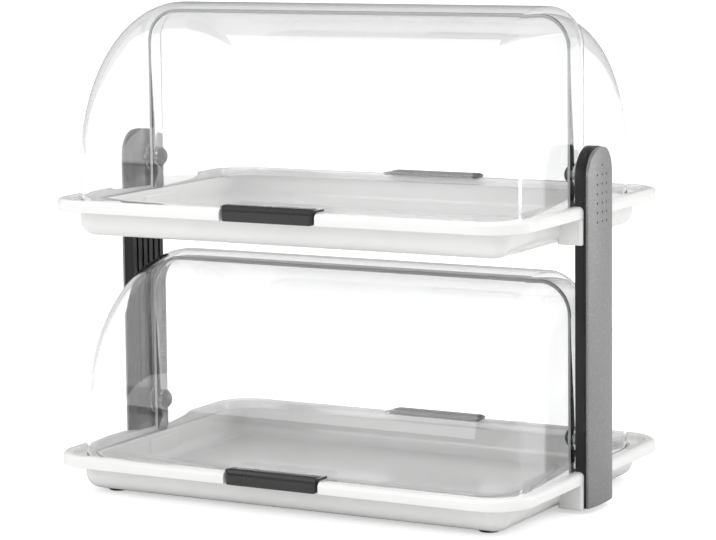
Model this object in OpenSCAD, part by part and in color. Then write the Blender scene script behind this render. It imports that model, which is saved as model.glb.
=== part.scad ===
// Two-tier countertop bread display: two trays with rolled rims, each under a pair of
// clear quarter hoods that roll back on a common pivot, carried by two side columns.
// Origin: table level, midway between the columns. +X right, +Y back, +Z up.

/* [Trays] */
// tray width over the rim
tray_w = 440; // [400:1:520]
// tray depth over the rim
tray_d = 306; // [280:1:360]
// plan radius of the rim corners
rim_r = 36; // [34:1:50]
// rim height
rim_h = 10; // [9:0.5:14]
// rim width
rim_w = 10; // [8:0.5:13]
// top edge radius of the rim
rim_edge = 4; // [2:0.5:4.5]
// wall thickness of rim, ledge and basin
tray_t = 2.5; // [2:0.1:3.5]
// ledge height above the lower edge of the rim
ledge_z = 5; // [4:0.5:6]
// ledge width inside the rim
ledge_w = 12; // [10:0.5:14]
// basin depth below the rim's lower edge
basin_h = 22; // [18:0.5:25]
// bottom radius of the basin
basin_r = 13; // [8:0.5:14]
// gap between the top of the lower hoods and the upper tray
tier_gap = 25.5; // [22.5:0.5:60]

/* [Feet] */
// foot height below the basin
foot_h = 3; // [2:0.5:8]
// foot radius
foot_r = 9; // [6:0.5:14]

/* [Hoods] */
// pivot height above the lower edge of the rim
pivot_z = 33; // [31:0.5:34]
// distance from the rim's outer face to the front hoods, which run outside
hood_in = 16.5; // [15.5:0.5:23]
// hood wall thickness
hood_t = 2.5; // [2:0.1:2.8]
// gap between the front and back hood shells
hood_gap = 4; // [3.8:0.1:5]
// gap between the front and back end walls
side_gap = 1.7; // [1.5:0.1:2.2]
// corner radius between shell and end wall
hood_fillet = 32; // [18:1:36]
// overlap of each hood past the pivot plane
lap = 11; // [9:0.5:20]

/* [Handles] */
// handle length
grip_l = 85; // [60:1:110]
// handle thickness in the recess of the rim
grip_t = 7.5; // [5:0.1:7.5]
// handle height
grip_h = 13.5; // [13:0.5:15]
// tab thickness
tab_t = 2; // [1.5:0.1:2.4]

/* [Columns] */
// column width
post_w = 48.5; // [44:0.5:56]
// distance from the rim's outer face to the post's inner face
post_t = 7.5; // [7:0.5:9.5]
// back plate thickness
plate_t = 1.6; // [1.6:0.1:3]
// edge thickness of the outer cover
cover_e = 2.2; // [1:0.1:3]
// bulge of the outer cover above its edge
bulge = 1.8; // [1.5:0.1:4]
// cover wall thickness
cover_t = 1; // [0.8:0.1:1.2]
// number of grooves in the posts
grooves = 5; // [3:1:7]

/* [Pivots] */
// pivot pin radius
pin_r = 4; // [3:0.1:5]
// spacer length between the post and the front hood
spacer_l = 7.5; // [5:0.5:12]
// spacer radius
spacer_r = 7; // [6:0.5:9]
// radius of the fluted flange on the spacer
flange_r = 12.5; // [10:0.5:14]
// washer radius
washer_r = 8.5; // [7:0.5:10]
// fluted hub ring radius
hub_r = 9; // [8.5:0.5:12]
// hub ring thickness
hub_t = 1.8; // [1.5:0.1:3]
// knob radius
knob_r = 8; // [7:0.5:9]
// knob length
knob_l = 5; // [4.5:0.5:9]

/* [Hidden] */
fit = 0.08;
gap = 0.2;
$fn = 64;

hx = tray_w/2;
hy = tray_d/2;
front_r = hy - hood_in;
pitch = pivot_z + front_r + tier_gap + basin_h;
low_z = foot_h + basin_h;
high_z = low_z + pitch;
low_p = low_z + pivot_z;
high_p = high_z + pivot_z;
basin_in = rim_w + ledge_w;
back_r = front_r - hood_t - hood_gap;
post_x = hx - post_t;
front_x = post_x - spacer_l;
back_x = front_x - hood_t - side_gap;
knob_x = back_x - hood_t - hub_t - gap;
plate_x = hx + gap;
cover_x = plate_x + plate_t;
boss_w = post_w + 4;
boss_x = hx - basin_in + tray_t;
arch_r = post_w/2;
cover_a = arch_r - 0.6;
cover_r = (cover_a*cover_a + bulge*bulge)/(2*bulge);
screw_y = post_w/4;
screw_rise = 22;
screw_fall = 18;
groove_rise = 16;
groove_fall = 10;
pin_head_r = 6.5;
pin_head_t = 1;
tray_screw_l = 15;
post_screw_l = 8;
drop = pivot_z - ledge_z - gap;
rise = pivot_z - rim_h;

// rounded rectangle plate, half sizes a and b, corner radius r
module plate(a, b, r, h) {
    linear_extrude(height = h) union() {
        square([2*a, 2*(b - r)], center = true);
        square([2*(a - r), 2*b], center = true);
        for (sx = [-1, 1], sy = [-1, 1]) translate([sx*(a - r), sy*(b - r)]) circle(r = r);
    }
}

// rounded rectangle block whose lower edge is rounded by e
module tub(a, b, r, e, h) {
    translate([0, 0, e]) plate(a, b, r, h - e);
    plate(a - e, b - e, r - e, e);
    for (sy = [-1, 1]) translate([0, sy*(b - e), e]) rotate([0, 90, 0])
        cylinder(r = e, h = 2*(a - r), center = true);
    for (sx = [-1, 1]) translate([sx*(a - e), 0, e]) rotate([90, 0, 0])
        cylinder(r = e, h = 2*(b - r), center = true);
    for (sx = [-1, 1], sy = [-1, 1]) translate([sx*(a - r), sy*(b - r), e])
        rotate_extrude() intersection() {
            union() {
                translate([0, -e]) square([r - e, 2*e]);
                translate([r - e, 0]) circle(r = e);
            }
            translate([0, -e]) square([r + 1, 2*e]);
        }
}

module tray(z) {
    translate([0, 0, z]) difference() {
        union() {
            translate([0, 0, rim_h]) mirror([0, 0, 1]) tub(hx, hy, rim_r, rim_edge, rim_h);
            translate([0, 0, -basin_h])
                tub(hx - basin_in + tray_t, hy - basin_in + tray_t, rim_r - basin_in + tray_t,
                    basin_r, basin_h + ledge_z);
            for (s = [-1, 1]) translate([s > 0 ? boss_x - 2 : -hx + gap, -boss_w/2, -basin_h + 0.5])
                cube([hx - gap - boss_x + 2, boss_w, basin_h]);
        }
        // basin
        translate([0, 0, tray_t - basin_h])
            tub(hx - basin_in, hy - basin_in, rim_r - basin_in, basin_r - tray_t, basin_h + rim_h);
        // ledge
        translate([0, 0, ledge_z]) plate(hx - rim_w, hy - rim_w, rim_r - rim_w, rim_h);
        // hollow under the rolled rim and the ledge
        difference() {
            translate([0, 0, -1]) plate(hx - tray_t, hy - tray_t, rim_r - tray_t, rim_h - tray_t + 1);
            translate([0, 0, -2]) plate(hx - basin_in + tray_t, hy - basin_in + tray_t,
                rim_r - basin_in + tray_t, rim_h + 4);
            translate([0, 0, ledge_z - tray_t])
                plate(hx - rim_w + tray_t, hy - rim_w + tray_t, rim_r - rim_w + tray_t, rim_h);
            for (s = [-1, 1]) translate([s*hx, 0, 0]) cube([4*basin_in, boss_w, 4*rim_h], center = true);
        }
        // recesses of the handles
        for (s = [-1, 1]) translate([0, s*(hy + 1), 0])
            cube([grip_l + 3, 2*(rim_w - tray_t + 1), 4*rim_h], center = true);
        // screw holes in the bosses
        for (s = [-1, 1], y = [-screw_y, screw_y]) translate([s*(hx + 1), y, -basin_h/2])
            rotate([0, -90*s, 0]) cylinder(r = 1.75, h = tray_screw_l - plate_t - gap + 1.1);
    }
}

module lower_tray() color([0.95, 0.95, 0.95]) difference() {
    tray(low_z);
    feet_at() translate([0, 0, foot_h - 1]) cylinder(r = 3.05, h = 2.05);
}

module upper_tray() color([0.95, 0.95, 0.95]) tray(high_z);

module feet_at() for (sx = [-1, 1], sy = [-1, 1])
    translate([sx*(hx - basin_in - basin_r - foot_r), sy*(hy - basin_in - basin_r - foot_r), 0]) children();

module rubber_feet() color([0.15, 0.15, 0.15]) feet_at() {
    rotate_extrude() polygon([[0, 0], [foot_r - 1.2, 0], [foot_r, 1.2], [foot_r, foot_h], [0, foot_h]]);
    cylinder(r = 3, h = foot_h + 1);
}

// outline of a column in the side plane, half width a, from z0 up to the arch at the top pivot
module outline(a, z0, x0, x1) translate([x0, 0, 0]) rotate([90, 0, 90]) linear_extrude(height = x1 - x0) {
    translate([0, high_p]) circle(r = a);
    translate([-a, z0]) square([2*a, high_p - z0]);
}

module posts(s) {
    mirror([s < 0 ? 1 : 0, 0, 0]) children();
}

// bar with the shape of a rim crossing the column, grown by the gap
module rim_bar(z) translate([0, post_w, z]) rotate([90, 0, 0]) linear_extrude(height = 2*post_w) {
    translate([post_x - 5, -1]) square([post_t + 5 - rim_edge, rim_h + 1 + gap/4]);
    translate([post_x - 5, -1]) square([post_t + 5 + gap/4, rim_h + 1 - rim_edge]);
    translate([hx - rim_edge, rim_h - rim_edge]) circle(r = rim_edge + gap/4);
}

module groove_cuts(z0, z1) for (i = [0 : grooves - 1])
    translate([post_x - 1, (i - (grooves - 1)/2)*post_w/(grooves + 0.6) - 1.6, z0])
        cube([2.2, 3.2, z1 - z0]);

module post_holes(z0, z1) for (z = [z0, z1], y = [-screw_y, screw_y]) translate([hx + 1, y, z])
    rotate([0, -90, 0]) cylinder(r = 1.75, h = post_screw_l - plate_t - gap + 1.1);

module lower_post() difference() {
    translate([post_x, -post_w/2, low_z + rim_h/2])
        cube([post_t, post_w, pitch - basin_h + 0.45 - rim_h/2]);
    rim_bar(low_z);
    groove_cuts(low_p + groove_rise, high_z - basin_h - groove_fall);
    translate([post_x - 1, 0, low_p]) rotate([0, 90, 0]) cylinder(r = pin_r + 0.02, h = post_t + 2);
    post_holes(low_p + screw_rise, high_z - basin_h - screw_fall);
}

module head() difference() {
    outline(arch_r, high_z + rim_h/2, post_x, hx);
    rim_bar(high_z);
    translate([post_x - 1, 0, high_p]) rotate([0, 90, 0]) cylinder(r = pin_r + 0.02, h = post_t + 2);
    for (y = [-screw_y, screw_y]) translate([hx + 1, y, high_p]) rotate([0, -90, 0])
        cylinder(r = 1.75, h = post_screw_l - plate_t - gap + 1.1);
}

module left_lower_post() color([0.08, 0.08, 0.08]) posts(-1) lower_post();
module right_lower_post() color([0.08, 0.08, 0.08]) posts(1) lower_post();
module left_head() color([0.08, 0.08, 0.08]) posts(-1) head();
module right_head() color([0.08, 0.08, 0.08]) posts(1) head();

plate_screw_z = [low_z - basin_h/2, low_p + screw_rise, high_z - basin_h - screw_fall, high_z - basin_h/2, high_p];

peg_z = [low_z + rim_h + 6, (low_p + high_p)/2, high_z + rim_h + 5];

module back_plate() difference() {
    outline(arch_r, low_z - basin_h + 2, plate_x, cover_x);
    for (z = plate_screw_z, y = [-screw_y, screw_y]) translate([cover_x, y, z]) rotate([0, -90, 0]) {
        cylinder(r = 1.8, h = 5);
        translate([0, 0, -0.01]) cylinder(r1 = 3.31, r2 = 1.8, h = 1.51);
    }
    for (z = [low_p, high_p]) translate([hx, 0, z]) rotate([0, 90, 0]) cylinder(r = pin_r + 0.02, h = 5);
    for (z = peg_z) translate([hx, 0, z]) rotate([0, 90, 0]) cylinder(r = 2.03, h = 5);
}
module left_plate() color([0.1, 0.1, 0.1]) posts(-1) back_plate();
module right_plate() color([0.1, 0.1, 0.1]) posts(1) back_plate();

// curved outer face of a cover, set back by d
module barrel(d) translate([cover_x + cover_e + bulge - cover_r, 0, -10])
    cylinder(r = cover_r - d, h = 2*high_p, $fn = 240);

module cover() {
    difference() {
        intersection() {
            outline(cover_a, low_z - basin_h + 2, cover_x, cover_x + 2*(cover_e + bulge));
            barrel(0);
        }
        intersection() {
            outline(cover_a - 1.2, low_z - basin_h + 3.2, cover_x - 1, cover_x + 2*(cover_e + bulge));
            barrel(cover_t);
        }
        for (k = [0 : 5], y = [-9, 0, 9]) dimple(y, high_p + 1.3 - k*7.65);
        dimple(0, high_p + 9);
    }
    for (z = peg_z) translate([plate_x + gap, 0, z]) rotate([0, 90, 0])
        cylinder(r = 2, h = plate_t + cover_e + bulge - cover_t/2);
}

module dimple(y, z) translate([cover_x + cover_e + bulge - cover_r + sqrt(cover_r*cover_r - y*y) - 0.5, y, z])
    rotate([0, 90, 0]) cylinder(r = 0.9, h = 3, $fn = 24);

module left_cover() color([0.55, 0.55, 0.56]) posts(-1) cover();
module right_cover() color([0.55, 0.55, 0.56]) posts(1) cover();

// countersunk screw, its head flush with the back plate
module screw(l) rotate([0, -90, 0]) {
    cylinder(r = 1.7, h = l);
    cylinder(r1 = 3.2, r2 = 1.7, h = 1.5);
}

module tray_screws() color([0.7, 0.7, 0.72]) for (s = [-1, 1]) posts(s)
    for (z = [low_z - basin_h/2, high_z - basin_h/2], y = [-screw_y, screw_y])
        translate([cover_x, y, z]) screw(tray_screw_l);

module post_screws() color([0.7, 0.7, 0.72]) for (s = [-1, 1]) posts(s)
    for (z = [low_p + screw_rise, high_z - basin_h - screw_fall, high_p], y = [-screw_y, screw_y])
        translate([cover_x, y, z]) screw(post_screw_l);

module pivot_pins() color([0.75, 0.75, 0.77]) for (s = [-1, 1], z = [low_p, high_p]) posts(s)
    translate([cover_x, 0, z]) rotate([0, -90, 0]) {
        cylinder(r = pin_r, h = cover_x - knob_x + knob_l - 2);
        translate([0, 0, -pin_head_t]) cylinder(r = pin_head_r, h = pin_head_t);
    }

module ring(r, x0, x1) translate([x0, 0, 0]) rotate([0, 90, 0]) difference() {
    cylinder(r = r, h = x1 - x0);
    translate([0, 0, -1]) cylinder(r = pin_r + 0.02, h = x1 - x0 + 2);
}

// ring with a flute every a degrees
module fluted(r, x0, x1, a) difference() {
    ring(r, x0, x1);
    for (k = [0 : a : 359]) rotate([k, 0, 0]) translate([x0 - 1, r + 0.2, 0])
        rotate([0, 90, 0]) cylinder(r = 0.7, h = x1 - x0 + 2, $fn = 16);
}

module pivot_spacers() color([0.9, 0.92, 0.93]) for (s = [-1, 1], z = [low_p, high_p]) posts(s)
    translate([0, 0, z]) {
        ring(spacer_r, front_x + 0.1, post_x);
        fluted(flange_r, front_x + 0.1, front_x + 2.1, 15);
    }

module pivot_washers() color([0.9, 0.92, 0.93]) for (s = [-1, 1], z = [low_p, high_p]) posts(s)
    translate([0, 0, z]) ring(washer_r, back_x + 0.1, front_x - hood_t - 0.1);

module hub_rings() color([0.85, 0.87, 0.88]) for (s = [-1, 1], z = [low_p, high_p]) posts(s)
    translate([0, 0, z]) fluted(hub_r, back_x - hood_t - hub_t - 0.1, back_x - hood_t - 0.1, 20);

// domed hand nut on the inner end of a pivot pin
module knob(s, z) color([0.1, 0.1, 0.1]) posts(s) translate([knob_x, 0, z])
    rotate([0, -90, 0]) difference() {
        rotate_extrude() intersection() {
            square([knob_r, knob_l]);
            translate([0, knob_l - 1.2*knob_r]) circle(r = 1.2*knob_r, $fn = 96);
        }
        translate([0, 0, -1]) cylinder(r = pin_r + fit, h = knob_l - 0.6);
        for (a = [0 : 60 : 300]) rotate([0, 0, a]) translate([knob_r + 1.3, 0, -1])
            cylinder(r = 2, h = knob_l - 1);
    }
module lower_left_knob() knob(-1, low_p);
module lower_right_knob() knob(1, low_p);
module upper_left_knob() knob(-1, high_p);
module upper_right_knob() knob(1, high_p);

// solid quarter barrel about the pivot axis: half width a, radius r, rounded ends of radius f
module barrel_solid(a, r, f, d) {
    rotate([0, 90, 0]) {
        translate([0, 0, -(a - f)]) cylinder(r = r, h = 2*(a - f), $fn = 180);
        cylinder(r = r - f, h = 2*a, center = true, $fn = 180);
        for (s = [-1, 1]) translate([0, 0, s*(a - f)])
            rotate_extrude($fn = 180) intersection() {
                translate([r - f, 0]) circle(r = f);
                translate([0, -f]) square([r + 1, 2*f]);
            }
    }
    translate([0, 0, -d]) plate(a, r, f, d);
}

module shell(a, r, f, t) difference() {
    barrel_solid(a, r, f, drop);
    barrel_solid(a - t, r - t, f - t, drop + 1);
}

// region kept for a front quarter: ahead of the lap line, rounded below the pivot behind it
module front_zone(a, r) {
    translate([-a - 1, -r - 1, -drop]) cube([2*a + 2, r + 1, r + drop + 1]);
    translate([-a - 1, -1, 0]) cube([2*a + 2, lap + 1, r + 1]);
    intersection() {
        rotate([0, 90, 0]) cylinder(r = drop, h = 2*a + 2, center = true);
        translate([-a - 1, -1, -drop - 1]) cube([2*a + 2, lap + 1, 2*drop + 2]);
    }
}

module quarter(a, r, f) difference() {
    union() {
        intersection() {
            shell(a, r, f, hood_t);
            front_zone(a, r);
        }
        // tab over the rim
        translate([-grip_l/2 + 2, -hy + 1, -rise + 0.5])
            cube([grip_l - 4, hy - 1 - r + hood_t/2, tab_t]);
    }
    for (s = [-1, 1]) translate([s*(a + 1), 0, 0]) rotate([0, -90*s, 0])
        cylinder(r = pin_r + fit, h = hood_t + 2);
    grip_at() translate([0, 0, -rise - 1]) cylinder(r = 1.6, h = tab_t + 4);
}

module grip_at() for (x = [-grip_l/4, grip_l/4]) translate([x, -hy + 3, 0]) children();

module front_hood(z) color([0.85, 0.9, 0.92, 0.35]) translate([0, 0, z])
    quarter(front_x, front_r, hood_fillet);
module back_hood(z) color([0.85, 0.9, 0.92, 0.35]) translate([0, 0, z]) rotate([0, 0, 180])
    quarter(back_x, back_r, hood_fillet - 5);

module lower_front_hood() front_hood(low_p);
module lower_back_hood() back_hood(low_p);
module upper_front_hood() front_hood(high_p);
module upper_back_hood() back_hood(high_p);

// grip bar in the recess of the rim, hooked over the tab
module grip() {
    low = -pivot_z;
    top = low + grip_h;
    face = -hy - 1;
    rear = face + grip_t;
    difference() {
        translate([-grip_l/2, 0, 0]) rotate([90, 0, 90]) linear_extrude(height = grip_l) polygon([
            [rear, low], [face, low], [face, top - 5.5], [face + 1.5, top - 3.5],
            [face + 2.5, top], [-hy + rim_w - 1.5, top], [-hy + rim_w, top - 1.5],
            [-hy + rim_w, -rise + 0.6], [rear, -rise + 0.6]]);
        translate([-grip_l/2 + 2 - gap/4, -hy + 1 - gap/4, -rise + 0.5 - gap/4])
            cube([grip_l - 4 + gap/2, 2*rim_w, tab_t + gap/2]);
        for (s = [-1, 1]) translate([s*grip_l/2, face, 0]) rotate([0, 0, 45])
            cube([3, 3, 3*pivot_z], center = true);
        grip_at() translate([0, 0, -rise - 2.6]) cylinder(r = 1.6, h = tab_t + 3.2);
    }
}

module front_handle(z) color([0.13, 0.13, 0.14]) translate([0, 0, z]) grip();
module back_handle(z) color([0.13, 0.13, 0.14]) translate([0, 0, z]) rotate([0, 0, 180]) grip();
module lower_front_handle() front_handle(low_p);
module lower_back_handle() back_handle(low_p);
module upper_front_handle() front_handle(high_p);
module upper_back_handle() back_handle(high_p);

module rivets() {
    grip_at() translate([0, 0, -rise - 2.5]) cylinder(r = 1.55, h = tab_t + 3);
}
module lower_front_rivets() color([0.5, 0.5, 0.5]) translate([0, 0, low_p]) rivets();
module lower_back_rivets() color([0.5, 0.5, 0.5]) translate([0, 0, low_p]) rotate([0, 0, 180]) rivets();
module upper_front_rivets() color([0.5, 0.5, 0.5]) translate([0, 0, high_p]) rivets();
module upper_back_rivets() color([0.5, 0.5, 0.5]) translate([0, 0, high_p]) rotate([0, 0, 180]) rivets();

lower_tray();
upper_tray();
left_cover();
right_cover();
left_plate();
right_plate();
left_lower_post();
right_lower_post();
left_head();
right_head();
rubber_feet();
tray_screws();
post_screws();
pivot_pins();
pivot_spacers();
pivot_washers();
hub_rings();
lower_front_hood();
lower_back_hood();
upper_front_hood();
upper_back_hood();
lower_front_handle();
lower_back_handle();
upper_front_handle();
upper_back_handle();
lower_front_rivets();
lower_back_rivets();
upper_front_rivets();
upper_back_rivets();
lower_left_knob();
lower_right_knob();
upper_left_knob();
upper_right_knob();
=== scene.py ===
import math
import bmesh
import bpy
import numpy as np
from mathutils import Matrix, Vector


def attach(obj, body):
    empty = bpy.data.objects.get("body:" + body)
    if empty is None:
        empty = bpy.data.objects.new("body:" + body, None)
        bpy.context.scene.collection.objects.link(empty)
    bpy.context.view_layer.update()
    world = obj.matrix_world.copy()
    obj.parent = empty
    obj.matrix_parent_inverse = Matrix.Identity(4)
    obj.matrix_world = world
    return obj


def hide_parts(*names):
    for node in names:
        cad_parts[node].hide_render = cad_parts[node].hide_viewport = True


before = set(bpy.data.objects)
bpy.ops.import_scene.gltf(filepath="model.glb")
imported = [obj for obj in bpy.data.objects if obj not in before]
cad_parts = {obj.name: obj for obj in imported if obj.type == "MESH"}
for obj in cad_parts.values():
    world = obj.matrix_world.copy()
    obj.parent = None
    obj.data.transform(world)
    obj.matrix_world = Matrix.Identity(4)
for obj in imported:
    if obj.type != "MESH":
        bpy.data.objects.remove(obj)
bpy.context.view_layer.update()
print("frame loaded:", len(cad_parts), "nodes")

mm = 0.001
mergeGap, thinEdge, weldGap = 1e-6, 1e-7, 1e-5   # metres
bumpHeight = 0.0001   # metres
plasticIor = 1.5

# heights and places that several pieces share, in millimetres, as in the solids
layout = {
    "trayHalf": (220.0, 153.0),   # half width and half depth over the rim
    "rimRadius": 36.0,
    "rimLine": {"lower": 25.0, "upper": 242.0},
    "pivotLine": {"lower": 58.0, "upper": 275.0},
    "clipZ": (-22.5, -20.5),      # the clear tab over the rim, from the pivot
}


# camera fitted to the rims, corners, pivots and handles of the photograph
camSettings = {
    "place": (1.15903, -2.10446, 0.51806),
    "azimuth": 29.630, "elevation": 6.858, "roll": -0.730,
    "lens": 143.351,
    "shift": (0.05436, -0.07082),
}
az, el, roll = (math.radians(camSettings[k]) for k in ("azimuth", "elevation", "roll"))
backward = Vector((math.sin(az) * math.cos(el), -math.cos(az) * math.cos(el), math.sin(el)))
side = (-backward).cross(Vector((0, 0, 1))).normalized()
over = side.cross(-backward)
right = math.cos(roll) * side + math.sin(roll) * over
upward = -math.sin(roll) * side + math.cos(roll) * over
camData = bpy.data.cameras.new("photoCamera")
camData.lens = camSettings["lens"]
camData.shift_x, camData.shift_y = camSettings["shift"]
camData.clip_end = 30
camera = bpy.data.objects.new("photoCamera", camData)
turned = Matrix((right, upward, backward)).transposed().to_4x4()
camera.matrix_world = Matrix.Translation(camSettings["place"]) @ turned
bpy.context.collection.objects.link(camera)
bpy.context.scene.camera = camera
print("camera set")


# node group with the given sockets; body fills it and is only run the first time
def sharedGroup(name, inputs, outputs, body):
    if name in bpy.data.node_groups:
        return bpy.data.node_groups[name]
    group = bpy.data.node_groups.new(name, "ShaderNodeTree")
    for label, default in inputs:
        socket = group.interface.new_socket(label, in_out="INPUT", socket_type="NodeSocketFloat")
        socket.default_value = default
    for label, kind in outputs:
        group.interface.new_socket(label, in_out="OUTPUT", socket_type=kind)
    body(group, group.nodes.new("NodeGroupInput"), group.nodes.new("NodeGroupOutput"))
    return group


# fine moulded skin: slow mottling for the colour, drawn-out flow for the roughness, grain for the bump
def fillSkin(group, given, result):
    coords = group.nodes.new("ShaderNodeTexCoord")
    grain = group.nodes.new("ShaderNodeTexNoise")
    grain.inputs["Detail"].default_value = 3.0
    flow = group.nodes.new("ShaderNodeTexNoise")
    flow.inputs["Scale"].default_value = 14.0
    flow.inputs["Detail"].default_value = 4.0
    flow.inputs["Distortion"].default_value = 0.6
    sheen = group.nodes.new("ShaderNodeMapRange")
    group.links.new(coords.outputs["Object"], grain.inputs["Vector"])
    group.links.new(coords.outputs["Object"], flow.inputs["Vector"])
    group.links.new(given.outputs["Grain Scale"], grain.inputs["Scale"])
    group.links.new(flow.outputs["Fac"], sheen.inputs["Value"])
    group.links.new(given.outputs["Rough Low"], sheen.inputs["To Min"])
    group.links.new(given.outputs["Rough High"], sheen.inputs["To Max"])
    sheen.inputs["From Min"].default_value = 0.3
    sheen.inputs["From Max"].default_value = 0.7
    group.links.new(flow.outputs["Fac"], result.inputs["Mottle"])
    group.links.new(sheen.outputs["Result"], result.inputs["Roughness"])
    group.links.new(grain.outputs["Fac"], result.inputs["Grain"])


skinInputs = [("Grain Scale", 900.0), ("Rough Low", 0.2), ("Rough High", 0.3)]
skinOutputs = [("Mottle", "NodeSocketFloat"), ("Roughness", "NodeSocketFloat"), ("Grain", "NodeSocketFloat")]
mouldedSkin = sharedGroup("mouldedSkin", skinInputs, skinOutputs, fillSkin)


# the skin group and a bump node set from a look and joined to the shader's roughness and normal
def wireSkin(nodes, links, shader, look):
    skin = nodes.new("ShaderNodeGroup")
    skin.node_tree = mouldedSkin
    skin.inputs["Grain Scale"].default_value = look["grain"]
    skin.inputs["Rough Low"].default_value, skin.inputs["Rough High"].default_value = look["rough"]
    bump = nodes.new("ShaderNodeBump")
    bump.inputs["Strength"].default_value = look["bump"]
    bump.inputs["Distance"].default_value = bumpHeight
    links.new(skin.outputs["Roughness"], shader.inputs["Roughness"])
    links.new(skin.outputs["Grain"], bump.inputs["Height"])
    links.new(bump.outputs["Normal"], shader.inputs["Normal"])
    return skin


# colour mix node; the mix node keeps its two colours in sockets 6 and 7
def colourMix(nodes, first=None, second=None):
    node = nodes.new("ShaderNodeMix")
    node.data_type = "RGBA"
    for socket, colour in ((6, first), (7, second)):
        if colour:
            node.inputs[socket].default_value = tuple(colour) + (1.0,)
    return node


# material with the moulded skin wired into colour, roughness and bump
def skinMaterial(name, look):
    mat = bpy.data.materials.new(name)
    mat.use_nodes = True
    nodes, links = mat.node_tree.nodes, mat.node_tree.links
    shader = nodes["Principled BSDF"]
    skin = wireSkin(nodes, links, shader, look)
    tone = colourMix(nodes, look["dark"], look["light"])
    links.new(skin.outputs["Mottle"], tone.inputs[0])
    links.new(tone.outputs[2], shader.inputs["Base Color"])
    shader.inputs["IOR"].default_value = plasticIor
    shader.inputs["Metallic"].default_value = look.get("metal", 0.0)
    shader.inputs["Specular IOR Level"].default_value = look.get("specular", 0.5)
    shader.inputs["Coat Weight"].default_value = look.get("coat", 0.0)
    return mat, tone, shader


pearlLook = {"dark": (0.80, 0.80, 0.79), "light": (0.87, 0.87, 0.865), "grain": 700.0,
             "rough": (0.16, 0.24), "bump": 0.02, "coat": 0.25}
blackLook = {"dark": (0.006, 0.006, 0.0065), "light": (0.011, 0.011, 0.012), "grain": 1400.0,
             "rough": (0.26, 0.38), "bump": 0.08, "specular": 0.35}
charcoalLook = {"dark": (0.020, 0.020, 0.021), "light": (0.032, 0.032, 0.034), "grain": 1500.0,
                "rough": (0.24, 0.36), "bump": 0.10}
knobLook = {"dark": (0.012, 0.012, 0.013), "light": (0.022, 0.022, 0.024), "grain": 1500.0,
            "rough": (0.20, 0.32), "bump": 0.06}
rivetLook = {"dark": (0.10, 0.10, 0.105), "light": (0.16, 0.16, 0.165), "grain": 1200.0,
             "rough": (0.30, 0.42), "bump": 0.08}
steelLook = {"dark": (0.46, 0.46, 0.47), "light": (0.60, 0.60, 0.61), "grain": 2200.0,
             "rough": (0.20, 0.34), "bump": 0.05, "metal": 1.0}
rubberLook = {"dark": (0.030, 0.030, 0.030), "light": (0.050, 0.050, 0.050), "grain": 1100.0,
              "rough": (0.65, 0.80), "bump": 0.25}
pearlPlastic = skinMaterial("pearlPlastic", pearlLook)[0]
blackPlastic = skinMaterial("blackPlastic", blackLook)[0]
charcoalPlastic = skinMaterial("charcoalPlastic", charcoalLook)[0]
knobPlastic = skinMaterial("knobPlastic", knobLook)[0]
rivetPlastic = skinMaterial("rivetPlastic", rivetLook)[0]
turnedSteel = skinMaterial("turnedSteel", steelLook)[0]
footRubber = skinMaterial("footRubber", rubberLook)[0]

# grey cover: satin paint with small metallic flakes, and painted shade in its dimples
coverLook = {"dark": (0.22, 0.22, 0.223), "light": (0.26, 0.26, 0.263), "grain": 1600.0,
             "rough": (0.34, 0.42), "bump": 0.04, "metal": 0.6,
             "flakes": 1100.0, "flakeRange": (0.62, 0.95), "flakeTone": (0.33, 0.33, 0.333),
             # dots: the dimples' places, and tone, the painted shade colour for their hollows
             "dots": {"pitch": (0.009, 0.00765), "first": 0.2763, "rows": 6, "radius": 0.0009,
                      "fade": (1.15, 0.8), "tone": (0.03, 0.03, 0.03)}}
coverGrey, coverTone, coverShader = skinMaterial("coverGrey", coverLook)
nodes, links = coverGrey.node_tree.nodes, coverGrey.node_tree.links
coords = nodes.new("ShaderNodeTexCoord")
flakes = nodes.new("ShaderNodeTexVoronoi")
flakes.inputs["Scale"].default_value = coverLook["flakes"]
pick = nodes.new("ShaderNodeMapRange")
pick.inputs["From Min"].default_value, pick.inputs["From Max"].default_value = coverLook["flakeRange"]
blend = colourMix(nodes, None, coverLook["flakeTone"])
links.new(coords.outputs["Object"], flakes.inputs["Vector"])
links.new(flakes.outputs["Color"], pick.inputs["Value"])
links.new(pick.outputs["Result"], blend.inputs[0])
links.new(coverTone.outputs[2], blend.inputs[6])


# node of a kind with some of its inputs joined or set, in the cover's material
def coverNode(kind, operation, *given):
    node = nodes.new(kind)
    if operation:
        node.operation = operation
    for socket, value in zip(node.inputs, given):
        if isinstance(value, bpy.types.NodeSocket):
            links.new(value, socket)
        else:
            socket.default_value = value
    return node


# rows of three small dimples and one above them get painted shade, a near-black colour for the shade in their
# hollows: the mask is the distance to the middle of the nearest cell, kept to the cells used
dots = coverLook["dots"]
stepY, stepZ = dots["pitch"]
moved = coverNode("ShaderNodeVectorMath", "SUBTRACT", coords.outputs["Object"], (0, 0, dots["first"]))
cell = coverNode("ShaderNodeVectorMath", "WRAP", moved.outputs[0],
                 (1, stepY / 2, stepZ / 2), (-1, -stepY / 2, -stepZ / 2))
flat = coverNode("ShaderNodeVectorMath", "MULTIPLY", cell.outputs[0], (0, 1, 1))
away = coverNode("ShaderNodeVectorMath", "LENGTH", flat.outputs[0])
outside, inside = (dots["radius"] * share for share in dots["fade"])
spot = coverNode("ShaderNodeMapRange", None, away.outputs["Value"], outside, inside)
axes = coverNode("ShaderNodeSeparateXYZ", None, coords.outputs["Object"])
aside = coverNode("ShaderNodeMath", "ABSOLUTE", axes.outputs[1])
columns = coverNode("ShaderNodeMath", "LESS_THAN", aside.outputs[0], 1.5 * stepY)
middle = coverNode("ShaderNodeMath", "LESS_THAN", aside.outputs[0], 0.5 * stepY)
top = coverNode("ShaderNodeMath", "MULTIPLY_ADD", middle.outputs[0], stepZ, dots["first"] + stepZ / 2)
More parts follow.
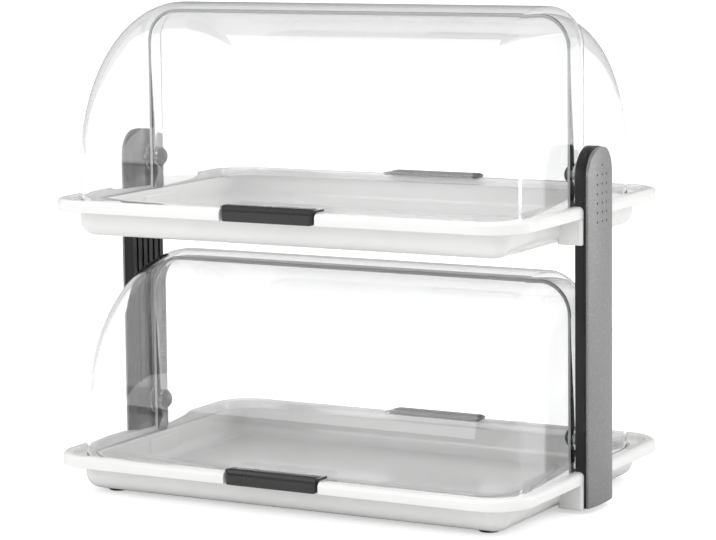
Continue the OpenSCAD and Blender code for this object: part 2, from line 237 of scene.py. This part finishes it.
belowTop = coverNode("ShaderNodeMath", "LESS_THAN", axes.outputs[2], top.outputs[0])
lowest = dots["first"] - (dots["rows"] - 0.5) * stepZ
aboveLowest = coverNode("ShaderNodeMath", "GREATER_THAN", axes.outputs[2], lowest)
inRows = coverNode("ShaderNodeMath", "MULTIPLY", belowTop.outputs[0], aboveLowest.outputs[0])
field = coverNode("ShaderNodeMath", "MULTIPLY", inRows.outputs[0], columns.outputs[0])
dimpleShadeMask = coverNode("ShaderNodeMath", "MULTIPLY", field.outputs[0], spot.outputs["Result"])
# painted shade: the dimples' colour is mixed towards near black
paintedDimpleShade = colourMix(nodes, None, dots["tone"])
links.new(dimpleShadeMask.outputs[0], paintedDimpleShade.inputs[0])
links.new(blend.outputs[2], paintedDimpleShade.inputs[6])
links.new(paintedDimpleShade.outputs[2], coverShader.inputs["Base Color"])


# clear plastic: lamps reach what is under it, and its colour gets painted shade where a face is seen edge on,
# standing for the dark edges that refraction makes
def clearMaterial(name, look):
    mat = bpy.data.materials.new(name)
    mat.use_nodes = True
    nodes, links = mat.node_tree.nodes, mat.node_tree.links
    shader = nodes["Principled BSDF"]
    shader.inputs["Transmission Weight"].default_value = 1.0
    shader.inputs["IOR"].default_value = look["ior"]
    wireSkin(nodes, links, shader, look)
    # painted shade: the colour goes from face to edge as the face turns edge on
    facing = nodes.new("ShaderNodeLayerWeight")
    facing.inputs["Blend"].default_value = look["blend"]
    tone = colourMix(nodes, look["face"], look["edge"])
    clear = nodes.new("ShaderNodeBsdfTransparent")
    clear.inputs["Color"].default_value = look["shade"] + (1.0,)
    path = nodes.new("ShaderNodeLightPath")
    mix = nodes.new("ShaderNodeMixShader")
    links.new(facing.outputs["Facing"], tone.inputs[0])
    links.new(tone.outputs[2], shader.inputs["Base Color"])
    links.new(path.outputs["Is Shadow Ray"], mix.inputs[0])
    links.new(shader.outputs[0], mix.inputs[1])
    links.new(clear.outputs[0], mix.inputs[2])
    links.new(mix.outputs[0], nodes["Material Output"].inputs["Surface"])
    return mat


# face and edge are the colours of the painted shade, edge for faces seen edge on
hoodLook = {"ior": 1.49, "face": (0.992, 0.993, 0.994), "edge": (0.25, 0.254, 0.258), "blend": 0.10,
            "grain": 60.0, "rough": (0.0, 0.02), "bump": 0.01, "shade": (0.98, 0.98, 0.981)}
trimLook = {"ior": 1.49, "face": (0.93, 0.935, 0.94), "edge": (0.55, 0.56, 0.57), "blend": 0.4,
            "grain": 600.0, "rough": (0.04, 0.12), "bump": 0.05, "shade": (0.88, 0.88, 0.89)}
# painted shade: the wall's cut faces are an opaque grey standing for the grey lines that refraction draws along
# the clear edges
edgeShadeLook = {"dark": (0.50, 0.505, 0.51), "light": (0.60, 0.605, 0.61), "grain": 500.0,
            "rough": (0.22, 0.34), "bump": 0.03}
clearPlastic = clearMaterial("clearPlastic", hoodLook)
paintedEdgeShade = skinMaterial("paintedEdgeShade", edgeShadeLook)[0]
clearTrim = clearMaterial("clearTrim", trimLook)
print("materials made")


# quads between neighbours of a rows x cols grid numbered row by row
def gridQuads(rows, cols, wrapCols=False, wrapRows=False):
    r = np.arange(rows if wrapRows else rows - 1)
    c = np.arange(cols if wrapCols else cols - 1)
    rr, cc = np.meshgrid(r, c, indexing="ij")
    nr, nc = (rr + 1) % rows, (cc + 1) % cols
    return np.stack([rr * cols + cc, rr * cols + nc, nr * cols + nc, nr * cols + cc], axis=-1).reshape(-1, 4)


# one object from several (points, quads, caps) islands in millimetres, merged, facing out, smooth below the angle
def makePiece(name, islands, material, body, angle=35.0):
    points, faces, start = [], [], 0
    for verts, quads, caps in islands:
        verts = np.asarray(verts, dtype=float).reshape(-1, 3)
        points.append(verts)
        faces += (np.asarray(quads) + start).tolist()
        faces += [[i + start for i in cap] for cap in caps]
        start += len(verts)
    mesh = bpy.data.meshes.new(name)
    mesh.from_pydata((np.concatenate(points) * mm).tolist(), [], faces)
    work = bmesh.new()
    work.from_mesh(mesh)
    bmesh.ops.remove_doubles(work, verts=work.verts, dist=mergeGap)
    bmesh.ops.dissolve_degenerate(work, edges=work.edges, dist=thinEdge)
    bmesh.ops.recalc_face_normals(work, faces=work.faces)
    work.to_mesh(mesh)
    work.free()
    mesh.polygons.foreach_set("use_smooth", np.ones(len(mesh.polygons), dtype=bool))
    mesh.set_sharp_from_angle(angle=math.radians(angle))
    mesh.materials.append(material)
    piece = bpy.data.objects.new(name, mesh)
    bpy.context.collection.objects.link(piece)
    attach(piece, body)
    return piece


# narrow round on the edges of a piece that are sharper than the angle, width in millimetres
def softEdge(piece, width, angle=50.0):
    soft = piece.modifiers.new("edge", "BEVEL")
    soft.width = width * mm
    soft.segments = 2
    soft.limit_method = "ANGLE"
    soft.angle_limit = math.radians(angle)


# first and last ring of a grid as two end faces
def endCaps(rows, cols):
    return [list(range(cols)), list(range((rows - 1) * cols, rows * cols))]


# path through corner points (u, v, fillet radius) with each corner turned into an arc of equal steps
def filletPath(corners, steps=6):
    path = []
    for k in range(len(corners)):
        here = np.array(corners[k][:2], dtype=float)
        radius = corners[k][2]
        if k in (0, len(corners) - 1) or radius <= 0:
            path.append(here[None])
            continue
        before = np.array(corners[k - 1][:2], dtype=float) - here
        after = np.array(corners[k + 1][:2], dtype=float) - here
        before, after = before / np.linalg.norm(before), after / np.linalg.norm(after)
        half = math.acos(np.clip(before @ after, -1, 1)) / 2
        middle = (before + after) / np.linalg.norm(before + after)
        centre = here + middle * radius / math.sin(half)
        first = here + before * radius / math.tan(half) - centre
        last = here + after * radius / math.tan(half) - centre
        turn = math.atan2(first[0] * last[1] - first[1] * last[0], first @ last)
        t = np.linspace(0, turn, steps + 1)
        path.append(centre + np.stack([first[0] * np.cos(t) - first[1] * np.sin(t),
                                       first[0] * np.sin(t) + first[1] * np.cos(t)], axis=1))
    return np.concatenate(path)


# corner centre and outward direction round a rounded rectangle; a ring is centre + radius * direction
def cornerWalk(halfX, halfY, radius, perCorner=14):
    t = np.radians(np.concatenate([np.linspace(a, a + 90, perCorner) for a in (0, 90, 180, 270)]))
    sx = np.repeat([1, -1, -1, 1], perCorner)
    sy = np.repeat([1, 1, -1, -1], perCorner)
    return (np.stack([sx * (halfX - radius), sy * (halfY - radius)], axis=1),
            np.stack([np.cos(t), np.sin(t)], axis=1))


# trays: one section from the basin floor over ledge and rim and back under, carried round the corners
trayStyle = {
    # inset from the rim's outer face, height from the rim's lower edge, fillet radius
    "section": [(33.0, -19.5, 0), (22.0, -19.5, 10.5), (22.0, 5.0, 1.4), (10.0, 5.0, 1.2), (10.0, 10.0, 2.2),
                (0.0, 10.0, 4.0), (0.0, 0.0, 0.7), (2.5, 0.0, 0.7), (2.5, 7.5, 1.2), (7.5, 7.5, 1.0),
                (7.5, 2.5, 0.8), (19.5, 2.5, 1.5), (19.5, -22.0, 13.0), (33.0, -22.0, 0)],
    "steps": 7,
    "perCorner": 14,
    # recess for a grip in the long sides of the rim: half length, length of its end step, depth, height of its
    # foot, and how far behind it the section is still drawn to that foot
    "recess": {"half": 44.0, "step": 0.5, "depth": 7.5, "foot": 2.5, "behind": 0.9},
    "boss": {"x": (197.0, 219.8), "halfY": 26.2, "z": (-21.5, 0.5), "radius": 3.0, "edge": 1.2},
}


# a ring point is the corner's centre plus (rim radius - inset) along the direction, at the section's height;
# in the recess of a grip the inset is never less than the recess is deep, and what lies under the rim is drawn
# together at its foot
def trayIsland(rimZ):
    section = filletPath(trayStyle["section"], trayStyle["steps"])
    n = trayStyle["perCorner"]
    centres, away = cornerWalk(*layout["trayHalf"], layout["rimRadius"], n)
    recess = trayStyle["recess"]
    half, deep = recess["half"], recess["depth"]
    stops = np.array([half + recess["step"], half, -half, -half - recess["step"]])
    midY = layout["trayHalf"][1] - layout["rimRadius"]
    back = np.stack([stops, np.full(4, midY)], axis=1)
    straight = np.tile([0.0, 1.0], (4, 1))
    centres = np.concatenate([centres[:n], back, centres[n:3 * n], -back, centres[3 * n:]])
    away = np.concatenate([away[:n], straight, away[n:3 * n], -straight, away[3 * n:]])
    cut = np.abs(centres[:, 0]) <= half
    inset = np.where(cut[None], np.maximum(section[:, 0], deep)[:, None], section[:, 0][:, None])
    ring = centres[None] + (layout["rimRadius"] - inset)[:, :, None] * away[None]
    under = (np.arange(len(section)) >= np.argmax(section[:, 0] < 1)) & (section[:, 0] <= deep + recess["behind"])
    z = np.where(cut[None] & under[:, None], recess["foot"], section[:, 1][:, None])[:, :, None] + rimZ
    verts = np.concatenate([ring, z], axis=2)
    rows, cols = ring.shape[:2]
    return verts, gridQuads(rows, cols, wrapCols=True), endCaps(rows, cols)


# upright block with rounded plan corners and soft edges, from rings drawn in towards both ends
def blockIsland(x, y, z, radius, edge, perCorner=6, steps=4):
    halfX, halfY, halfZ = (x[1] - x[0]) / 2, (y[1] - y[0]) / 2, (z[1] - z[0]) / 2
    t = np.linspace(0, math.pi / 2, steps + 1)
    inset = np.concatenate([edge * (1 - np.sin(t)), edge * (1 - np.cos(t))])
    level = np.concatenate([-halfZ + edge * (1 - np.cos(t)), halfZ - edge * (1 - np.sin(t))])
    centres, away = cornerWalk(halfX, halfY, radius, perCorner)
    ring = centres[None] + (radius - inset)[:, None, None] * away[None]
    verts = np.concatenate([ring, np.broadcast_to(level[:, None, None], ring.shape[:2] + (1,))], axis=2)
    verts = verts + np.array([sum(x) / 2, sum(y) / 2, sum(z) / 2])
    rows, cols = ring.shape[:2]
    return verts, gridQuads(rows, cols, wrapCols=True), endCaps(rows, cols)


for tier, rimZ in layout["rimLine"].items():
    boss = trayStyle["boss"]
    islands = [trayIsland(rimZ)]
    for s in (-1, 1):
        span = tuple(sorted((s * boss["x"][0], s * boss["x"][1])))
        islands.append(blockIsland(span, (-boss["halfY"], boss["halfY"]),
                                   (rimZ + boss["z"][0], rimZ + boss["z"][1]), boss["radius"], boss["edge"]))
    tray = makePiece(tier + "TrayShell", islands, pearlPlastic, "frame", angle=40)
    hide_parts(tier + "_tray")
print("trays made")


# hoods: a quarter barrel with rounded ends over a straight skirt, the front one outside the back one
hoodStyle = {
    "front": {"radius": 136.5, "half": 205.0, "fillet": 32.0, "facing": 1},
    "back": {"radius": 130.0, "half": 200.8, "fillet": 27.0, "facing": -1},
    "wall": 2.5, "lap": 11.0, "skirt": 27.8,
    "filletSteps": 14, "arcSteps": 56, "flatSteps": 8, "skirtSteps": 4,
    "footSteps": 23, "turnPoints": 9, "wallRows": 7,   # grid of an end wall
    "edge": 0.45, "edgeAngle": 60.0,
    "clip": {"half": 45.0, "behind": 1.0, "end": 151.5, "radius": 3.0, "edge": 0.35},
}


# along the profile x runs from end wall to end wall and rho is the distance from the pivot axis;
# a row below the axis keeps y = -rho, a row above turns by an angle up to the lap line of its rho
def hoodIslands(style, pivotZ):
    r, a, f = style["radius"], style["half"], style["fillet"]
    lap, skirt = hoodStyle["lap"], hoodStyle["skirt"]
    t = np.linspace(0, math.pi / 2, hoodStyle["filletSteps"] + 1)
    flat = np.linspace(-(a - f), a - f, hoodStyle["flatSteps"] + 1)[1:-1]
    x = np.concatenate([-(a - f) - f * np.cos(t), flat, (a - f) + f * np.sin(t)])
    rho = np.concatenate([(r - f) + f * np.sin(t), np.full(len(flat), r), (r - f) + f * np.cos(t)])
    share = np.linspace(0, 1, hoodStyle["arcSteps"] + 1)[:, None]
    angle = share * (math.pi / 2 + np.arcsin(lap / rho))[None]
    below = np.linspace(-skirt, 0, hoodStyle["skirtSteps"] + 1)[:-1, None] + 0 * rho[None]
    y = np.concatenate([-rho[None] + 0 * below, -rho[None] * np.cos(angle)])
    z = np.concatenate([below, rho[None] * np.sin(angle)])
    xx = np.broadcast_to(x, y.shape)
    flip = style["facing"]
    verts = np.stack([xx * flip, y * flip, z + pivotZ], axis=2)
    rows, cols = y.shape
    islands = [(verts, gridQuads(rows, cols), [])]
    # end wall: between the profile's last line and the lower and rear edge, ruled across
    edgeY, edgeZ = y[:, 0], z[:, 0]
    turn = np.linspace(0, math.asin(lap / skirt), hoodStyle["turnPoints"])
    foot = np.linspace(edgeY[0], 0, hoodStyle["footSteps"] + 1)[:-1]
    rise = rows - len(foot) - len(turn)
    rearY = np.concatenate([foot, skirt * np.sin(turn), np.full(rise, lap)])
    rearZ = np.concatenate([np.full(len(foot), -skirt), -skirt * np.cos(turn),
                            np.linspace(-skirt * math.cos(turn[-1]), edgeZ[-1], rise + 1)[1:]])
    across = np.linspace(0, 1, hoodStyle["wallRows"])[:, None]
    wallY = edgeY[None] * (1 - across) + rearY[None] * across
    wallZ = edgeZ[None] * (1 - across) + rearZ[None] * across
    for s in (-1, 1):
        wall = np.stack([np.full(wallY.shape, s * a) * flip, wallY * flip, wallZ + pivotZ], axis=2)
        islands.append((wall, gridQuads(len(across), rows), []))
    return islands


for tier, pivotZ in layout["pivotLine"].items():
    for face in ("front", "back"):
        style = hoodStyle[face]
        body = tier + "_" + face
        hood = makePiece(tier + face.capitalize() + "HoodShell", hoodIslands(style, pivotZ), clearPlastic, body,
                         angle=30)
        wall = hood.modifiers.new("wall", "SOLIDIFY")
        wall.thickness = hoodStyle["wall"] * mm
        wall.offset = -1
        wall.use_even_offset = True
        # painted shade: the wall's cut faces take the opaque grey
        hood.data.materials.append(paintedEdgeShade)
        wall.material_offset_rim = 1
        softEdge(hood, hoodStyle["edge"], hoodStyle["edgeAngle"])
        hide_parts(body + "_hood")
        tab = hoodStyle["clip"]
        reach = (style["radius"] - tab["behind"], tab["end"])
        span = (-reach[1], -reach[0]) if face == "front" else reach
        block = blockIsland((-tab["half"], tab["half"]), span, tuple(pivotZ + v for v in layout["clipZ"]),
                            tab["radius"], tab["edge"])
        clip = makePiece(tier + face.capitalize() + "Clip", [block], clearTrim, body, angle=40)
print("hoods made")


# handles: a rounded section along X, its front drawn back and its edges drawn in at both ends
gripStyle = {
    "length": 85.0,
    "section": [(-146.5, -33.0, 0.8), (-154.0, -33.0, 1.3), (-154.0, -25.0, 0.9), (-152.5, -23.0, 0.8),
                (-151.5, -19.5, 1.6), (-143.0, -19.5, 1.0), (-143.0, -22.4, 0.4), (-146.5, -22.4, 0.4)],
    "face": -154.0, "rear": -143.0, "low": -33.0, "top": -19.5,
    "cornerRadius": 3.4, "endInset": 1.5, "endSteps": 8, "alongSteps": 11, "filletSteps": 4,
}


# x runs along the grip; near an end the front plane moves back by a quarter circle, the rear one half as far,
# and the height shrinks a little
def gripIsland(pivotZ, facing):
    ring = gripStyle["section"]
    closed = [((ring[0][0] + ring[-1][0]) / 2, (ring[0][1] + ring[-1][1]) / 2, 0)]
    loop = filletPath(closed + ring + closed, gripStyle["filletSteps"])[:-1]
    half, corner = gripStyle["length"] / 2, gripStyle["cornerRadius"]
    t = np.linspace(0, math.pi / 2, gripStyle["endSteps"])
    along = np.linspace(-half + corner, half - corner, gripStyle["alongSteps"] + 1)[1:-1]
    x = np.concatenate([-half + corner * (1 - np.cos(t)), along, half - corner * (1 - np.sin(t))])
    depth = np.concatenate([corner * (1 - np.sin(t)), 0 * along, corner * (1 - np.cos(t))])
    small = depth / corner * gripStyle["endInset"]
    y = np.clip(loop[None, :, 0], gripStyle["face"] + depth[:, None], gripStyle["rear"] - depth[:, None] / 2)
    middle = (gripStyle["low"] + gripStyle["top"]) / 2
    z = middle + (loop[None, :, 1] - middle) * (1 - small[:, None] / (gripStyle["top"] - middle))
    verts = np.stack([np.broadcast_to(x[:, None], y.shape) * facing, y * facing, z + pivotZ], axis=2)
    rows, cols = y.shape
    return verts, gridQuads(rows, cols, wrapCols=True), endCaps(rows, cols)


for tier, pivotZ in layout["pivotLine"].items():
    for face, facing in (("front", 1), ("back", -1)):
        body = tier + "_" + face
        grip = makePiece(tier + face.capitalize() + "Grip", [gripIsland(pivotZ, facing)], charcoalPlastic, body,
                         angle=38)
        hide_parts(body + "_handle")
print("grips made")


# knobs: a low dome turned about the pin, with six flutes that fade out towards the dome
knobStyle = {
    "radius": 8.0, "length": 5.0, "base": 196.3, "dome": 9.6,
    "foot": (0, 0.12, 0.35), "drawnIn": (0.35, 0.1),   # first heights, and what the first rings lose in radius
    "barrel": (0.7, 2.4, 6), "domeStart": 0.06, "domeSteps": 13,
    "flutes": 6, "fluteDepth": 0.7, "flutePower": 1.5, "fluteTop": 3.4, "fluteFade": 1.2,
    "around": 120,
}


# radius is the lesser of the barrel and the dome's circle; cos(flutes * angle) takes depth off below the dome
def knobIsland(s, pivotZ):
    dome, length = knobStyle["dome"], knobStyle["length"]
    share = np.linspace(knobStyle["domeStart"], 1, knobStyle["domeSteps"])
    h = np.concatenate([knobStyle["foot"], np.linspace(*knobStyle["barrel"]),
                        length - knobStyle["barrel"][1] * (1 - share) ** 2])
    base = np.minimum(knobStyle["radius"], np.sqrt(np.maximum(dome ** 2 - (h + dome - length) ** 2, 0)))
    base[:2] -= knobStyle["drawnIn"]
    theta = np.linspace(0, 2 * math.pi, knobStyle["around"], endpoint=False)
    bite = np.maximum(np.cos(knobStyle["flutes"] * theta), 0) ** knobStyle["flutePower"]
    fade = np.clip((knobStyle["fluteTop"] - h) / knobStyle["fluteFade"], 0, 1)
    radius = np.maximum(base[:, None] - knobStyle["fluteDepth"] * fade[:, None] * bite[None], 0)
    x = np.broadcast_to((knobStyle["base"] - h)[:, None] * s, radius.shape)
    verts = np.stack([x, radius * np.cos(theta), radius * np.sin(theta) + pivotZ], axis=2)
    rows, cols = radius.shape
    return verts, gridQuads(rows, cols, wrapCols=True), [list(range(cols))]


# rings on the pins: closed sections of (x, radius) carried round, fluted where they reach past a radius
ringStyle = {
    "hub": {"section": [(196.4, 4.05), (196.4, 8.6), (196.52, 8.88), (196.8, 9.0), (197.8, 9.0), (198.08, 8.88),
                        (198.2, 8.6), (198.2, 4.05)], "past": 8.0, "flutes": 18, "depth": 0.5},
    "spacer": {"section": [(205.1, 4.05), (205.1, 12.0), (205.22, 12.35), (205.5, 12.5), (206.7, 12.5),
                           (206.98, 12.35), (207.1, 12.0), (207.1, 7.5), (207.25, 7.15), (207.6, 7.0),
                           (212.2, 7.0), (212.5, 6.7), (212.5, 4.05)], "past": 11.0, "flutes": 24, "depth": 0.6},
    "around": 240,
}


# radius is the section's radius less depth * cos(flutes * angle) where that is positive
def ringIsland(style, s, pivotZ):
    section = np.array(style["section"])
    theta = np.linspace(0, 2 * math.pi, ringStyle["around"], endpoint=False)
    bite = np.maximum(np.cos(style["flutes"] * theta), 0)
    outer = (section[:, 1] > style["past"]).astype(float)
    radius = section[:, 1][:, None] - style["depth"] * outer[:, None] * bite[None]
    x = np.broadcast_to(section[:, 0][:, None] * s, radius.shape)
    verts = np.stack([x, radius * np.cos(theta), radius * np.sin(theta) + pivotZ], axis=2)
    return verts, gridQuads(len(section), len(theta), wrapCols=True, wrapRows=True), []


for tier, pivotZ in layout["pivotLine"].items():
    for hand, s in (("left", -1), ("right", 1)):
        knob = makePiece(tier + hand.capitalize() + "KnobDome", [knobIsland(s, pivotZ)], knobPlastic,
                         tier + "_" + hand + "_knob_body", angle=40)
        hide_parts(tier + "_" + hand + "_knob")
for name, kind, node in (("flutedHubRings", "hub", "hub_rings"), ("flangedSpacers", "spacer", "pivot_spacers")):
    islands = [ringIsland(ringStyle[kind], s, z) for s in (-1, 1) for z in layout["pivotLine"].values()]
    rings = makePiece(name, islands, clearTrim, "frame", angle=40)
    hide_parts(node)
print("pivot parts made")


# outer covers: a barrel face over the column's outline, its side ruled back to the plate
coverStyle = {
    "half": 23.65, "plate": 221.8, "edge": 224.0, "crown": 225.8, "low": 5.0, "arch": 275.0, "round": 0.3,
    "dent": 0.5, "dentReach": 0.1, "dentSlope": 0.3,
    "plainStep": 6.0, "archRows": 22, "sideSteps": 8, "fine": 0.28,
    # the fine grid round the dimples, in pitches from the first row or the middle: where the plain grid stops
    # below and the fine one starts, where the fine one stops on the arch and the plain one starts, and its side
    "fieldLow": (5.4, 5.3), "fieldTop": (1.4, 1.45), "fieldSide": 1.3,
}


# y is a share of the half width at that height, z rises up the column and then round the arch,
# x follows a circle through both edges and the crown, less a dent near the middle of each dimple's cell
def coverIslands(s):
    half, rise = coverStyle["half"], coverStyle["crown"] - coverStyle["edge"]
    radius = (half ** 2 + rise ** 2) / (2 * rise)
    stepY, stepZ, first, spot = (1000 * v for v in (*dots["pitch"], dots["first"], dots["radius"]))
    fine, field = coverStyle["fine"], coverStyle["fieldSide"] * stepY
    plainTop, fineLow = (first - share * stepZ for share in coverStyle["fieldLow"])
    fineTurn, plainTurn = (math.asin(share * stepZ / half) for share in coverStyle["fieldTop"])
    upright = np.concatenate([np.arange(coverStyle["low"], plainTop, coverStyle["plainStep"]),
                              np.arange(fineLow, coverStyle["arch"], fine)])
    arch = np.concatenate([np.arange(0, fineTurn, fine / half),
                           np.linspace(plainTurn, math.pi / 2, coverStyle["archRows"])])
    z = np.concatenate([upright, coverStyle["arch"] + half * np.sin(arch)])
    wide = np.concatenate([np.full(len(upright), half), half * np.cos(arch)])
    across = np.concatenate([np.arange(-field, field, fine), [field]])
    sideways = np.linspace(field, half, coverStyle["sideSteps"] + 1)[1:]
    line = np.concatenate([-sideways[::-1], across, sideways])
    y = wide[:, None] / half * line[None]
    nearY = y - stepY * np.clip(np.round(y / stepY), -1, 1)
    row = np.round((first - z) / stepZ)[:, None] + 0 * y
    row = np.clip(row, np.where(np.abs(y) < stepY / 2, -1, 0), dots["rows"] - 1)
    away = np.hypot(nearY, z[:, None] - first + row * stepZ)
    x = coverStyle["crown"] - radius + np.sqrt(radius ** 2 - y ** 2)
    x = x - coverStyle["dent"] * np.clip((spot + coverStyle["dentReach"] - away) / coverStyle["dentSlope"], 0, 1)
    face = np.stack([x * s, y, np.broadcast_to(z[:, None], y.shape)], axis=2)
    loop = np.concatenate([face[:, 0], face[-2::-1, -1], face[0, -2:0:-1]])
    foot = loop.copy()
    foot[:, 0] = coverStyle["plate"] * s
    count = len(loop)
    return [(face, gridQuads(*y.shape), []),
            (np.stack([loop, foot]), gridQuads(2, count, wrapCols=True), [list(range(count, 2 * count))])]


for hand, s in (("left", -1), ("right", 1)):
    cover = makePiece(hand + "CoverShell", coverIslands(s), coverGrey, "frame", angle=40)
    softEdge(cover, coverStyle["round"])
    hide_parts(hand + "_cover")
print("covers made")


# solids that stay as they are: their finish, and a small round on their edges
carried = {
    "left_lower_post": (blackPlastic, 0.35), "right_lower_post": (blackPlastic, 0.35),
    "left_head": (blackPlastic, 0.35), "right_head": (blackPlastic, 0.35),
    "left_plate": (blackPlastic, 0.25), "right_plate": (blackPlastic, 0.25),
    "rubber_feet": (footRubber, 0.3), "tray_screws": (turnedSteel, 0), "post_screws": (turnedSteel, 0),
    "pivot_pins": (turnedSteel, 0.2), "pivot_washers": (clearTrim, 0.3),
}
for tier in layout["pivotLine"]:
    for face in ("front", "back"):
        carried[tier + "_" + face + "_rivets"] = (rivetPlastic, 0)
for name, (material, edge) in carried.items():
    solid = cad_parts[name]
    for slot in solid.material_slots:
        slot.material = material
    if not solid.material_slots:
        solid.data.materials.append(material)
    if edge:
        weld = solid.modifiers.new("weld", "WELD")
        weld.merge_threshold = weldGap
        softEdge(solid, edge)
print("solids finished")


# studio: pale floor, even sky, a large lamp over the front, a tall strip behind on the right and a soft front fill
studio = {
    "floor": (0.78, 0.78, 0.78), "floorHalf": 12.0, "floorMottle": 0.03,
    "glow": 0.5,      # light that the floor adds where the camera sees it, straight or through the hoods
    "sky": 1.08,      # strength of the sky as a light
    "gloss": 0.32,    # strength of the sky in reflections
    "seen": 1.0,      # strength of the sky where the camera sees it
    "lamps": [        # name, place, aim, size, watts
        ("overhead", (0.2, -0.5, 2.6), (0, 0, 0.2), (2.6, 2.2), 15.0),
        ("stripRight", (1.60, 1.57, 0.55), (0.2, -0.1, 0.25), (0.36, 1.5), 9.0),
        ("frontFill", (-1.2, -2.8, 0.9), (0, 0, 0.15), (1.4, 1.2), 10.0),
    ],
}
floorMesh = bpy.data.meshes.new("floor")
far = studio["floorHalf"]
floorMesh.from_pydata([(-far, -far, 0), (far, -far, 0), (far, far, 0), (-far, far, 0)], [], [(0, 1, 2, 3)])
floor = bpy.data.objects.new("floor", floorMesh)
bpy.context.collection.objects.link(floor)
floorLook = {"dark": studio["floor"], "light": tuple(v + studio["floorMottle"] for v in studio["floor"]),
             "grain": 40.0, "rough": (0.85, 0.95), "bump": 0.0}
floorPaper = skinMaterial("floorPaper", floorLook)[0]
nodes, links = floorPaper.node_tree.nodes, floorPaper.node_tree.links
ray = nodes.new("ShaderNodeLightPath")
direct = nodes.new("ShaderNodeMath")
direct.operation = "MAXIMUM"
share = nodes.new("ShaderNodeMath")
share.operation = "MULTIPLY"
share.inputs[1].default_value = studio["glow"]
links.new(ray.outputs["Is Camera Ray"], direct.inputs[0])
links.new(ray.outputs["Is Transmission Ray"], direct.inputs[1])
links.new(direct.outputs[0], share.inputs[0])
links.new(share.outputs[0], nodes["Principled BSDF"].inputs["Emission Strength"])
nodes["Principled BSDF"].inputs["Emission Color"].default_value = (1, 1, 1, 1)
floorMesh.materials.append(floorPaper)

world = bpy.data.worlds.new("studioSky")
bpy.context.scene.world = world
world.use_nodes = True
nodes, links = world.node_tree.nodes, world.node_tree.links
nodes.clear()
path = nodes.new("ShaderNodeLightPath")
seen = nodes.new("ShaderNodeMath")
seen.operation = "MAXIMUM"
level = nodes.new("ShaderNodeMapRange")
level.inputs["To Min"].default_value = studio["sky"]
level.inputs["To Max"].default_value = studio["seen"]
shine = nodes.new("ShaderNodeMapRange")
shine.inputs["To Min"].default_value = studio["sky"]
shine.inputs["To Max"].default_value = studio["gloss"]
sky = nodes.new("ShaderNodeBackground")
result = nodes.new("ShaderNodeOutputWorld")
links.new(path.outputs["Is Camera Ray"], seen.inputs[0])
links.new(path.outputs["Is Transmission Ray"], seen.inputs[1])
links.new(seen.outputs[0], level.inputs["Value"])
links.new(path.outputs["Is Glossy Ray"], shine.inputs["Value"])
links.new(shine.outputs["Result"], level.inputs["To Min"])
links.new(level.outputs["Result"], sky.inputs["Strength"])
links.new(sky.outputs[0], result.inputs["Surface"])
sky.inputs["Color"].default_value = (1, 1, 1, 1)

for name, place, aim, size, power in studio["lamps"]:
    data = bpy.data.lights.new(name, "AREA")
    data.shape = "RECTANGLE"
    data.size, data.size_y = size
    data.energy = power
    lamp = bpy.data.objects.new(name, data)
    lamp.matrix_world = (Matrix.Translation(place)
                         @ (Vector(aim) - Vector(place)).to_track_quat("-Z", "Y").to_matrix().to_4x4())
    bpy.context.collection.objects.link(lamp)

bpy.context.scene.view_settings.view_transform = "Standard"
print("studio lit")
